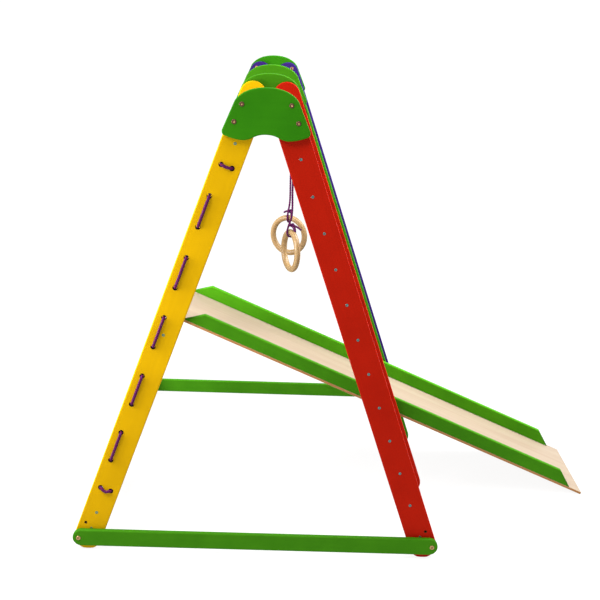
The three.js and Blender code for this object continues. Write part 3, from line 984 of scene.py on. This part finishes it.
SCREW = dict(radius=0.0045, height=0.0007, socket=0.0020, depth=0.0020)
BOLT = dict(radius=0.0076, height=0.0022, socket=0.0029, depth=0.0028)
CAPPED = dict(BOLT, depth=0.0006)  # a shallow, bright socket
NUT = dict(radius=0.0068, height=0.0012, socket=0.0030, depth=0.0018)
GUSSET_BOLTS = ((0.0734, 0.0498), (0.0956, 0.1018))  # out from the middle, down from the top
GUSSET_SCREWS = ((0.0700, 0.0640), (0.0956, 0.1018))
BEAM_BOLT_IN = 0.0195  # from the end of a beam
BRACE_SCREWS = 0.030  # each way from the middle of the low brace


def axis_of(name):
    low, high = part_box(name)
    return (low.x + high.x) / 2, (low.z + high.z) / 2


def inner_face(number, out):
    """Y of the face of frame number's legs that looks away from out, where nuts sit."""
    low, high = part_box(f"frame_{number}_leg_left")
    return high.y if out < 0 else low.y


def rung_screws():
    """Screws through the outer face of each leg into the ends of rungs, bars and braces."""
    for number, unit, out in ((1, "a", -1), (2, "a", 1), (3, "b", -1), (4, "b", 1)):
        low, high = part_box(f"frame_{number}_leg_right")
        y = low.y if out < 0 else high.y
        places = []
        for name in sorted(NODES):
            if name.startswith(f"unit_{unit}_rung") or name.startswith(f"unit_{unit}_crossbar"):
                x, z = axis_of(name)
                places.append((x, y, z))
        brace_low, brace_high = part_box(f"unit_{unit}_brace_low")
        centre = (brace_low + brace_high) / 2
        lean = math.atan((brace_high.x - brace_low.x - BOARD) / (brace_high.z - brace_low.z))
        for side in (-1, 1):
            places.append((centre.x + side * BRACE_SCREWS * math.sin(lean), y,
                           centre.z + side * BRACE_SCREWS * math.cos(lean)))
        fasteners(f"frame_{number}_screws", places, out, shell=ZINC, inside=SOCKET_SHADE_TEAL, **SCREW)


def gusset_bolts():
    """Bolts through the two outer gussets and their legs, with nuts on the legs' inner face, and
    wood screws into the two gussets that face the slide."""
    for number in (1, 2, 3, 4):
        out = -1 if number in (1, 3) else 1
        bolted = number in (1, 4)
        plate_low, plate_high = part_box(f"frame_{number}_gusset")
        x, _ = axis_of(f"frame_{number}_gusset")
        flat = [(x + side * across, plate_high.z - down)
                for across, down in (GUSSET_BOLTS if bolted else GUSSET_SCREWS)
                for side in (-1, 1)]
        outer = plate_low.y if out < 0 else plate_high.y
        heads = [(px, outer, pz) for px, pz in flat]
        if bolted:
            inner = inner_face(number, out)
            fasteners(f"frame_{number}_gusset_bolts", heads, out,
                      shell=BRONZE, inside=BRASS, **CAPPED)
            fasteners(f"frame_{number}_gusset_nuts", [(px, inner, pz) for px, pz in flat], -out,
                      shell=BRASS, inside=SOCKET_SHADE_BROWN, **NUT)
        else:
            fasteners(f"frame_{number}_gusset_screws", heads, out,
                      shell=BRONZE, inside=SOCKET_SHADE_BROWN, **SCREW)


def beam_bolts():
    """A bolt at each end of the base beams, with its nut on the leg's inner face."""
    for side, number, out in (("near", 1, -1), ("far", 4, 1)):
        low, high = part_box(f"base_beam_{side}")
        z = (low.z + high.z) / 2
        flat = [(low.x + BEAM_BOLT_IN, z), (high.x - BEAM_BOLT_IN, z)]
        outer = low.y if out < 0 else high.y
        inner = inner_face(number, out)
        fasteners(f"base_beam_{side}_bolts", [(px, outer, pz) for px, pz in flat], out,
                  shell=BRASS, inside=SOCKET_SHADE_BROWN, **BOLT)
        fasteners(f"base_beam_{side}_nuts", [(px, inner, pz) for px, pz in flat], -out,
                  shell=BRASS, inside=SOCKET_SHADE_BROWN, **NUT)


rung_screws()
gusset_bolts()
beam_bolts()


# ---- Studio ----
FLOOR_HALF = 400.0  # far enough for the floor to fill the view
FLOOR_GLOW = 0.9  # a lit white sweep, so that shadows on it stay faint
SKY, HORIZON = 0.3, 1.05


def floor():
    """A wide white sweep that the object stands on."""
    bm = bmesh.new()
    bmesh.ops.create_grid(bm, x_segments=8, y_segments=8, size=FLOOR_HALF)
    made = mesh_object("studio_floor", bm)
    material, tree, shader = new_material("studio floor", (0.12, 0.12, 0.12), 0.9, specular=0.0)
    shader.inputs["Emission Color"].default_value = (1, 1, 1, 1)
    shader.inputs["Emission Strength"].default_value = FLOOR_GLOW
    cloud = noise(tree, node(tree, "TexCoord").outputs["Object"], (0.8, 0.8, 0.8), detail=2.0)
    tree.links.new(mixed(tree, between(tree, cloud, 0, 1), (0.115, 0.115, 0.115),
                         (0.125, 0.125, 0.125)), shader.inputs["Base Color"])
    made.data.materials.append(material)


def aimed(light, place, aim):
    bpy.context.scene.collection.objects.link(light)
    light.location = place
    light.rotation_euler = (Vector(aim) - Vector(place)).to_track_quat("-Z", "Y").to_euler()


def area_light(name, place, aim, size, power):
    light = bpy.data.objects.new(name, bpy.data.lights.new(name, "AREA"))
    light.data.shape = "DISK"
    light.data.size = size
    light.data.energy = power
    aimed(light, place, aim)


def sun_light(name, direction, strength, spread):
    """Even light from a direction, as soft as the patch of sky, spread degrees across."""
    light = bpy.data.objects.new(name, bpy.data.lights.new(name, "SUN"))
    light.data.energy = strength
    light.data.angle = math.radians(spread)
    aimed(light, 10 * Vector(direction), (0, 0, 0))


def sky():
    """White at the horizon, where it meets the floor, and dimmer overhead."""
    world = bpy.data.worlds.new("studio")
    bpy.context.scene.world = world
    world.use_nodes = True
    tree = world.node_tree
    place = node(tree, "SeparateXYZ")
    tree.links.new(node(tree, "TexCoord").outputs["Generated"], place.inputs[0])
    strength = between(tree, place.outputs["Z"], HORIZON, SKY, 0.1, 0.45)
    tree.links.new(strength, tree.nodes["Background"].inputs["Strength"])
    tree.nodes["Background"].inputs["Color"].default_value = (1, 1, 1, 1)


def studio():
    floor()
    sky()
    sun_light("overhead", (0.05, -0.1, 1), 3.4, 65)
    area_light("key", (-2.0, -2.3, 3.1), (-0.3, -0.5, 0.9), 0.9, 60)
    area_light("left fill", (-1.5, -0.70, 1.2), (-0.3, 0.3, 0.3), 0.9, 40)
    area_light("slide softbox", (0.75, 0.22, 2.2), (0.3, 0.0, 0.3), 1.0, 45)
    area_light("rim", (2.7, 0.35, 2.5), (0.2, 0.0, 0.9), 1.2, 34)
    bpy.context.scene.view_settings.view_transform = "Standard"


studio()
